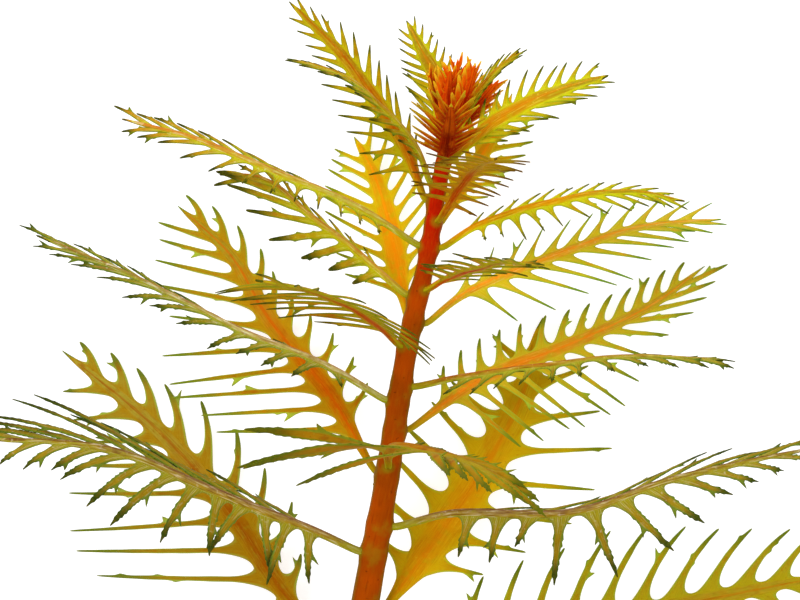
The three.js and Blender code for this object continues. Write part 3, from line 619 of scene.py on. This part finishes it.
# A spot of a leaf's skin: its place; how far it is along the midrib and out from it, past 1 on a
# segment; 1 on a margin; its thickness; and its place on the map of the fibres.
Spot = namedtuple("Spot", "place along out rim stout fibre")
# A segment's half width, how much of it is left at the point and how late it narrows; the length
# of the web at its foot against the bay's width; the chance of a small tooth on each step of a
# margin and of a spur on a segment; the midrib's height; and the degrees by which a segment strays
# from its row.
Habit = namedtuple("Habit", "slim left late web teeth spurs ridge stray")
TOOTHED = Habit(0.5, 0.22, 1.7, 2.0, 0.85, 0.85, 0.28, 5)
SMOOTH = Habit(0.34, 0.3, 2.4, 2.1, 0.05, 0.4, 0.08, 3)
YOUNG = Habit(0.28, 0.2, 1.5, 3.0, 0.02, 0.12, 0.12, 6)
CURLED = Habit(0.28, 0.3, 1.9, 2.6, 0.02, 0.1, 0.12, 15)
LINEAR = Habit(0.36, 0.4, 2.6, 2.4, 0.12, 0.4, 0.2, 5)


def spread_value(values, share):
    """The value at a share of the way through a list of values spread evenly."""
    place = share * (len(values) - 1)
    i = min(int(place), len(values) - 2)
    return blend(values[i], values[i + 1], place - i)


class Sheet:
    """A leaf's blade while it is drawn out row by row, with what its finish needs to know."""

    def __init__(self):
        self.mesh = bmesh.new()
        layers = self.mesh.verts.layers
        marks = [layers.float.new(name) for name in ("along", "out", "rim")]
        self.along, self.out, self.rim = marks
        self.weights = layers.deform.verify()
        self.fibres = self.mesh.loops.layers.uv.new("fibres")

    def settle(self, vertex, spot):
        """Puts a vertex on its spot, but keeps the finished leaf above the table."""
        place = spot.place.copy()
        place.z = max(place.z, STOUTEST * spot.stout / 2 + TABLE_GAP)
        vertex.co = (place - BOX_MIDDLE) * MM
        vertex[self.along], vertex[self.out], vertex[self.rim] = spot.along, spot.out, spot.rim
        vertex[self.weights][0] = spot.stout

    def first_row(self, spots):
        """Starts a row of vertices; gives it with its places on the map of the fibres."""
        row = [self.mesh.verts.new() for _ in spots]
        for vertex, spot in zip(row, spots):
            self.settle(vertex, spot)
        for a, b in zip(row, row[1:]):
            self.mesh.edges.new((a, b))
        return row, [spot.fibre for spot in spots]

    def draw_out(self, row, fibres, spots):
        """Extrudes a row to new spots; gives the new row as first_row does."""
        edges = [self.mesh.edges.get(pair) for pair in zip(row, row[1:])]
        new_row, faces = extrude_row(self.mesh, row, edges)
        for vertex, spot in zip(new_row, spots):
            self.settle(vertex, spot)
        new_fibres = [spot.fibre for spot in spots]
        fibre_of = dict(zip(row + new_row, fibres + new_fibres))
        for face in faces:
            for loop in face.loops:
                loop[self.fibres].uv = fibre_of[loop.vert]
        return new_row, new_fibres

    def close(self, row, fibres, spot):
        """Draws a row together to one point."""
        row, _ = self.draw_out(row, fibres, [spot] * len(row))
        bmesh.ops.pointmerge(self.mesh, verts=row, merge_co=row[0].co)

    def tooth(self, low, high, place):
        """Draws one margin edge out to a sharp little tooth."""
        edge = self.mesh.edges.get((low, high))
        grown = bmesh.ops.extrude_edge_only(self.mesh, edges=[edge])["geom"]
        fresh = [item for item in grown if isinstance(item, bmesh.types.BMVert)]
        co = (place - BOX_MIDDLE) * MM
        co.z = max(co.z, 2 * TABLE_GAP * MM)
        for vertex in fresh:
            vertex[self.along], vertex[self.rim] = high[self.along], 1.0
            vertex[self.out] = TOOTH_OUT
            vertex[self.weights][0] = TOOTH_STOUT
        bmesh.ops.pointmerge(self.mesh, verts=fresh, merge_co=co)


def blade_half_width(leaf, share):
    """Half the blade's width: narrow at the foot, broadest a third of the way up."""
    narrowing = 1 - TIP_NARROWING * max((share - BROADEST) / (1 - BROADEST), 0) ** 2
    return blend(min(FOOT_HALF_WIDTH, leaf.width), leaf.width, ease(share, 0, BROADEST)) * narrowing


class Midrib:
    """The line and the facing of a leaf's blade, from its foot on the stem to its tip."""

    def __init__(self, leaf, habit):
        axis, self.outward, radius = leaf_foot(leaf.height, leaf.path[0])
        self.foot = axis + self.outward * (radius * (1 + NODE_SWELLING) + LEAF_GAP)
        self.leaf, self.habit = leaf, habit
        self.path = Path([self.foot, *leaf.path])

    def frame_at(self, share):
        """The place, the heading, the way up from the blade and to its right, at a share."""
        place, heading = self.path.spot_at(share * self.path.length)
        face = blend(Vector(self.leaf.face), Vector(self.leaf.tip_face or self.leaf.face), share)
        normal = (face - heading * face.dot(heading)).normalized()
        return place, heading, normal, heading.cross(normal)

    def row(self, share, narrow=1.0, wave=0.0):
        """Spots across the blade, the middle three on the raised midrib.

        The blade rises half as steeply as its segments.
        """
        leaf = self.leaf
        centre, heading, normal, right = self.frame_at(share)
        half = blade_half_width(leaf, share) * narrow
        turn = min(max((share - FIRST_SEGMENT) / (LAST_SEGMENT - FIRST_SEGMENT), 0), 1)
        spots = []
        for across in ACROSS:
            side = 1 if across > 0 else -1
            lift = spread_value((leaf.right if across > 0 else leaf.left).lift, turn)
            tilt = math.radians(lift) / 2
            offset = abs(across) * half
            rib = 1 - ease(abs(across), *RIB_EDGES)
            place = centre + right * (side * offset * math.cos(tilt))
            place += normal * (offset * math.sin(tilt))
            ridge = self.habit.ridge * rib * blend(*RIB_HEIGHTS, share)
            place += normal * (ridge + wave * (1 - rib))
            stout = blend(BLADE_STOUT, blend(*RIB_STOUT, share), rib)
            fibre = (across * half, share * self.path.length)
            spots.append(Spot(place, share, abs(across), 0.0, stout, fibre))
        return spots


def grow_blade(sheet, midrib, pairs, chance):
    """Draws the blade from inside the stem to its tip; gives the rows that carry segments."""
    into_stem = -midrib.outward * (LEAF_GAP + STALK_IN_STEM)
    start = []
    for spot in midrib.row(0.0):
        place = blend(spot.place, midrib.foot, STALK_NARROWING) + into_stem
        start.append(spot._replace(place=place, stout=STALK_STOUT))
    row, fibres = sheet.first_row(start)
    for share in STALK_ROWS:
        row, fibres = sheet.draw_out(row, fibres, midrib.row(share))
    rows = []
    half_step = (LAST_SEGMENT - FIRST_SEGMENT) / (2 * pairs + 1)
    phase = chance.uniform(0, 6)  # so that no two blades wave alike
    for i in range(2 * pairs + 2):
        share = FIRST_SEGMENT + i * half_step
        wave = BLADE_WAVE * math.sin(i * WAVE_TURN + phase)
        row, fibres = sheet.draw_out(row, fibres, midrib.row(share, wave=wave))
        row[0][sheet.rim] = 1.0 - i % 2
        row[-1][sheet.rim] = i % 2
        rows.append((share, row))
    for share, narrow in TIP_ROWS:
        further = (share - TIP_START) * TIP_GAIN
        spots = [spot._replace(out=spot.out + further, stout=TIP_STOUT)
                 for spot in midrib.row(share, narrow)]
        row, fibres = sheet.draw_out(row, fibres, spots)
    sheet.close(row, fibres, Spot(midrib.frame_at(1.0)[0], 1.0, 2.0, 0.0, TOOTH_STOUT, fibres[3]))
    return rows


def grow_segment(sheet, midrib, base, side, part, turn, share, chance):
    """Draws one segment from three vertices of the blade's edge, with round bays at its foot."""
    habit = midrib.habit
    _, heading, normal, right = midrib.frame_at(share)
    root = (base[0].co + base[2].co) / 2 / MM + BOX_MIDDLE
    pitch = (base[2].co - base[0].co).length / MM
    stray = (-habit.stray, habit.stray)
    spread = math.radians(spread_value(part.sweep, turn) + chance.uniform(*stray))
    tilt = math.radians(spread_value(part.lift, turn) + chance.uniform(*stray))
    length = spread_value(part.reach, turn) * chance.uniform(*LENGTH_STRAY)
    outwards = right * (side * math.cos(tilt)) + normal * math.sin(tilt)
    upper = normal * math.cos(tilt) - right * (side * math.sin(tilt))
    bend, twist = math.radians(part.bend), math.radians(midrib.leaf.twist)
    point = root + (heading * math.cos(spread) + outwards * math.sin(spread)) * length
    point += upper * (length * chance.uniform(*DROOP))
    setting_out = heading * math.cos(spread + bend) + outwards * math.sin(spread + bend)
    turning = root + setting_out * (length / 2)
    turning += upper * (ARCH * length)

    slim = habit.slim * spread_value(part.broad, turn) * min(1.0, length / FULL_LENGTH) ** 0.5
    slim = min(slim, pitch * WIDEST_SHARE)
    bay = pitch / 2 - slim
    flare = min(bay * habit.web, length * LONGEST_WEB) / length
    count = min(max(round(length * (1 - flare) / TOOTH_STEP), FEWEST_STEPS), MOST_STEPS)
    steps = [flare * k for k in FOOT_ROWS]
    steps += [blend(flare, 1.0, (k + 1) / (count + POINT_STEP)) for k in range(count)]
    spur_step = -1
    if chance.random() < habit.spurs:
        spur_step = len(FOOT_ROWS) + chance.randrange(max(1, int(count * SPUR_REACH)))
    spur_edge = -1 if chance.random() < SPURS_ON_FIRST_EDGE else 1
    spur_size = chance.uniform(*SPUR_SIZES) * min(1.0, length / FULL_SPUR)
    fibres = [(k * pitch / 2, 0.0) for k in (-1, 0, 1)]
    strip = base
    for i, t in enumerate(steps):
        centre = root * (1 - t) ** 2 + turning * (2 * t * (1 - t)) + point * t**2
        going = ((turning - root) * (1 - t) + (point - turning) * t).normalized()
        square = Quaternion(going, twist * ease(t, *TWIST_SPAN)) @ going.cross(upper)
        square = square if going.cross(upper).dot(heading) > 0 else -square
        cross = blend(heading, square, ease(t / flare, 0, 1)).normalized()
        curve = max(0.0, 1 - t / flare)
        half = slim * (1 - (1 - habit.left) * t ** habit.late)
        half += bay * (1 - math.sqrt(max(0.0, 1 - curve**2)))
        if t > flare:
            half *= chance.uniform(*WIDTH_STRAY)
        fresh = []
        for k in (-1, 0, 1):
            stout = blend(*SEGMENT_STOUT, t) * blend(STOUT_MIDDLE, 1, abs(k))
            place = centre + cross * (k * half)
            fresh.append(Spot(place, share, 1 + t, abs(k), stout, (k * half, t * length)))
        old, (strip, fibres) = strip, sheet.draw_out(strip, fibres, fresh)
        for k, edge in ((-1, 0), (1, 2)):
            spur = i == spur_step and k == spur_edge
            toothed = len(FOOT_ROWS) - 1 <= i < len(steps) - 1
            if spur or (toothed and chance.random() < habit.teeth):
                size = spur_size if spur else chance.uniform(*TOOTH_SIZES)
                middle = (old[edge].co + strip[edge].co) / 2 / MM + BOX_MIDDLE
                tip = middle + cross * (k * size) + going * (size * TOOTH_LEAN)
                sheet.tooth(old[edge], strip[edge], tip)
    sheet.close(strip, fibres, Spot(point, share, 2.0, 0.0, POINT_STOUT, (0.0, length)))


def grow_leaf(leaf, habit):
    """Grows a whole leaf; the same leaf comes out the same each time."""
    chance = random.Random(leaf.name)
    sheet = Sheet()
    midrib = Midrib(leaf, habit)
    rows = grow_blade(sheet, midrib, leaf.pairs, chance)
    for i in range(leaf.pairs):
        for side, part, first in ((-1, leaf.left, 2 * i), (1, leaf.right, 2 * i + 1)):
            base = [rows[first + k][1][0 if side < 0 else -1] for k in range(3)]
            turn = i / (leaf.pairs - 1)
            grow_segment(sheet, midrib, base, side, part, turn, rows[first + 1][0], chance)
    bmesh.ops.recalc_face_normals(sheet.mesh, faces=sheet.mesh.faces)
    for polygon in sheet.mesh.faces:
        polygon.smooth = True
    piece = make_piece(leaf.name + "_blade", sheet.mesh)
    piece.vertex_groups.new(name="stout")
    flesh = piece.modifiers.new("flesh", "SOLIDIFY")
    flesh.thickness = STOUTEST * MM
    flesh.offset = 0
    flesh.vertex_group = "stout"
    flesh.thickness_vertex_group = 0
    rounding = piece.modifiers.new("rounding", "SUBSURF")
    rounding.levels = rounding.render_levels = 1
    return piece


# The colours, as paint takes them, of the vein along the midrib, of the midrib, of the blade beside
# it, of both at the leaf's tip, of the web between the segments, of the segments, of their margins
# and of their points; then of the pale fibres, partly a painted sheen on the ribs, and of the dark
# fibres, how strong those are, and the habit.
Finish = namedtuple("Finish", "vein core blade tip web segment rim point pale dark fibres habit")
FINISHES = {
    "olive": Finish((118, 66, 46), (152, 124, 70), (158, 126, 24), (148, 134, 38), (150, 144, 28),
        (146, 118, 16), (92, 118, 34), (46, 62, 16), (208, 192, 152), (104, 54, 30), 0.75, TOOTHED),
    "silver": Finish((170, 96, 56), (196, 182, 120), (168, 146, 40), (138, 130, 42), (160, 166, 36),
        (138, 126, 16), (90, 116, 34), (46, 60, 14), (230, 222, 186), (140, 84, 50), 0.7, TOOTHED),
    "moss": Finish((200, 112, 46), (186, 178, 74), (182, 158, 26), (196, 132, 36), (186, 188, 18),
        (166, 132, 12), (118, 140, 26), (46, 60, 12), (222, 220, 160), (158, 96, 34), 0.5, LINEAR),
    "russet": Finish((158, 48, 14), (172, 104, 26), (162, 138, 32), (168, 154, 56), (160, 164, 36),
        (144, 126, 20), (92, 118, 34), (48, 62, 14), (208, 186, 100), (120, 40, 8), 0.6, TOOTHED),
    "umber": Finish((156, 84, 8), (168, 110, 12), (172, 104, 8), (158, 138, 30), (162, 146, 24),
        (166, 118, 12), (116, 132, 28), (80, 90, 16), (168, 150, 50), (118, 48, 4), 0.45, TOOTHED),
    "bronze": Finish((190, 50, 4), (196, 70, 8), (196, 104, 8), (166, 148, 32), (178, 162, 18),
        (176, 134, 12), (112, 126, 24), (60, 74, 14), (194, 126, 24), (136, 40, 3), 0.45, YOUNG),
    "sage": Finish((190, 104, 44), (186, 168, 60), (182, 156, 18), (184, 140, 26), (190, 192, 14),
        (168, 134, 12), (120, 142, 26), (44, 58, 12), (220, 216, 130), (166, 92, 22), 0.5, LINEAR),
    "bracken": Finish((150, 74, 3), (152, 86, 3), (158, 106, 6), (160, 144, 44), (160, 120, 10),
        (150, 122, 20), (146, 168, 60), (94, 110, 30), (176, 146, 40), (134, 66, 3), 0.45, SMOOTH),
    "tawny": Finish((200, 116, 4), (198, 128, 5), (196, 142, 6), (184, 152, 12), (192, 156, 9),
        (176, 148, 12), (164, 180, 36), (104, 120, 18), (208, 166, 28), (174, 100, 3), 0.4, SMOOTH),
    "amber": Finish((200, 84, 2), (194, 94, 3), (186, 114, 5), (164, 144, 32), (178, 134, 10),
        (162, 128, 14), (158, 182, 52), (104, 124, 26), (202, 142, 20), (162, 68, 1), 0.4, SMOOTH),
    "honey": Finish((240, 138, 6), (232, 146, 8), (224, 152, 8), (206, 160, 14), (208, 182, 14),
        (192, 170, 14), (182, 208, 66), (116, 132, 12), (244, 180, 40), (222, 124, 4), 0.3, SMOOTH),
    "salmon": Finish((224, 122, 18), (214, 128, 20), (202, 144, 28), (176, 144, 34), (184, 168, 26),
        (168, 156, 24), (152, 178, 50), (100, 122, 26), (222, 168, 62), (198, 104, 10), 0.45,
        SMOOTH),
    "peach": Finish((238, 140, 24), (228, 150, 30), (208, 166, 38), (198, 162, 50), (204, 186, 28),
        (180, 172, 28), (140, 174, 44), (88, 130, 28), (232, 206, 110), (206, 126, 16), 0.45,
        YOUNG),
    "gold": Finish((208, 124, 10), (216, 140, 10), (204, 158, 10), (156, 138, 24), (196, 202, 16),
        (178, 160, 14), (144, 164, 26), (62, 76, 12), (228, 206, 70), (182, 108, 8), 0.6, YOUNG),
    "apricot": Finish((178, 78, 3), (182, 98, 4), (184, 128, 6), (166, 134, 18), (184, 176, 12),
        (172, 144, 10), (132, 150, 20), (60, 74, 12), (204, 176, 50), (150, 68, 3), 0.5, YOUNG),
    "flame": Finish((176, 60, 4), (182, 70, 5), (178, 90, 7), (178, 156, 36), (188, 136, 12),
        (176, 128, 14), (138, 118, 18), (88, 60, 10), (212, 150, 34), (130, 50, 3), 0.5, YOUNG),
    "ember": Finish((104, 18, 1), (116, 22, 1), (136, 28, 2), (190, 78, 5), (152, 38, 3),
        (190, 88, 6), (192, 132, 12), (184, 158, 24), (178, 66, 6), (84, 14, 1), 0.5, CURLED),
    "ochre": Finish((176, 104, 4), (176, 118, 5), (170, 126, 8), (168, 142, 28), (168, 152, 16),
        (154, 140, 18), (140, 162, 40), (92, 110, 20), (188, 148, 30), (144, 84, 4), 0.4, SMOOTH),
}


def leaf_material(name, finish):
    """A leaf's skin, tint over tint as on the stem, from the vein to the segments' points."""
    material, skin, wire = new_material(name, 0.45, 0.2)
    tones = (paint(*tone) for tone in finish[:10])
    vein, core, blade, tip, web, segment, margin, point, pale_and_sheen, dark = tones
    along, out, rim = (wire.mark(mark) for mark in ("along", "out", "rim"))
    fibres = wire.noise(1.0, 3, (8, 0.45, 1))
    patches = wire.noise(260, 4)
    mottle = wire.noise(850, 3)
    grain = wire.noise(2300, 2)
    spread = out + (patches - 0.5) * 1.3
    colour = spread.rise(0.0, 0.85).tint(core, blade)
    colour = (along + (patches - 0.5) * 0.3).rise(0.4, 0.85).tint(colour, tip)
    colour = spread.rise(0.8, 1.4).tint(colour, segment)
    colour = ((along + (mottle - 0.5) * 0.4).rise(0.45, 0.95) * 0.45).tint(colour, tip)
    colour = (mottle.rise(0.5, 0.7) * 0.55).tint(colour, blade)
    colour = ((1 - mottle).rise(0.5, 0.7) * 0.6).tint(colour, segment)
    blotches = wire.noise(430, 4)
    colour = (blotches.rise(0.55, 0.7) * 0.4).tint(colour, dark)
    colour = ((1 - blotches).rise(0.58, 0.72) * 0.4).tint(colour, web)
    webbed = (out + (patches - 0.5) * 0.3).rise(0.6, 0.95) * (1 - out.rise(1.0, 1.35))
    colour = (webbed * 0.8).tint(colour, web)
    colour = ((1 - out.rise(0.06, 0.24)) * 0.6).tint(colour, vein)
    inner = (1 - out.rise(0.8, 1.6)) * 0.65 + 0.35
    # The pale fibres are partly the leaf's own pale streaks and partly painted sheen, strongest on
    # the midrib and blade; the grain below takes the same pale colour.
    colour = (fibres.rise(0.52, 0.72) * inner * finish.fibres).tint(colour, pale_and_sheen)
    colour = ((1 - fibres).rise(0.5, 0.7) * inner * finish.fibres).tint(colour, dark)
    colour = (grain.rise(0.6, 0.8) * 0.45).tint(colour, pale_and_sheen)
    colour = ((1 - grain).rise(0.62, 0.8) * 0.4).tint(colour, dark)
    colour = (rim.rise(0.5, 1.0) * (0.3 + out.rise(0.95, 1.3) * 0.55)).tint(colour, margin)
    colour = (out.rise(1.5, 1.85) * (0.65 + 0.5 * grain)).tint(colour, point)
    colour = ((1 - along.rise(0.0, 0.13)) * 0.65).tint(colour, paint(140, 142, 8))
    relief = fibres + mottle * 0.5 + grain * 0.3
    sockets = {"Strength": 0.6, "Distance": 0.07 * MM, "Height": relief}
    bump = wire.node("ShaderNodeBump", {}, sockets)
    material.node_tree.links.new(colour.socket, skin.inputs["Base Color"])
    material.node_tree.links.new(bump.socket, skin.inputs["Normal"])
    return material


leaf_skins = {name: leaf_material("leaf_" + name, finish) for name, finish in FINISHES.items()}
for leaf in LEAVES:
    piece = grow_leaf(leaf, FINISHES[leaf.finish].habit)
    piece.data.materials.append(leaf_skins[leaf.finish])
    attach(piece, "root")
    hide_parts(leaf.name)

# The bud
# The unopened leaves stand close round the growing point, like little feathers, dark red inside,
# red-orange further out and yellow at their points.

BUD_HALF_WIDTH = 0.6
BUD_PAIRS = 6
BUD_SIDE = Side((3, 2.8, 1.8), (32, 22), (20, 20), 4, (1.8, 1.6))
BUD_PATHS = (
    ("bud_leaf_1", 54.6, ((6.4, 58.6, 14.0), (6.6, 62.0, 13.4)), (0, 0, 1)),
    ("bud_leaf_2", 54.4, ((7.5, 57.6, 18.7), (8.4, 60.8, 20.0)), (-0.6, 0, -0.8)),
    ("bud_leaf_3", 54.2, ((5.4, 57.4, 17.4), (5.6, 60.3, 19.0)), (0, 0.3, -1)),
    ("bud_leaf_4", 54.0, ((3.8, 57.2, 14.9), (3.2, 60.2, 15.6)), (0.9, 0, 0.3)),
    ("bud_leaf_5", 53.6, ((9.0, 56.8, 12.8), (11.4, 59.8, 12.0)), (-0.5, 0, 0.8)),
)
BUD_FINISH = Finish(
    (150, 24, 1), (170, 32, 1), (198, 42, 2), (218, 84, 4), (204, 58, 3), (216, 86, 5),
    (220, 136, 12), (222, 176, 28), (224, 112, 10), (120, 18, 1), 0.5, CURLED)
bud_skin = leaf_material("bud_red", BUD_FINISH)
for name, height, path, face in BUD_PATHS:
    bud_leaf = Leaf(name, height, path, face, BUD_HALF_WIDTH, BUD_PAIRS, "bud", BUD_SIDE, BUD_SIDE)
    piece = grow_leaf(bud_leaf, BUD_FINISH.habit)
    piece.data.materials.append(bud_skin)
    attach(piece, "root")
    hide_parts(name)
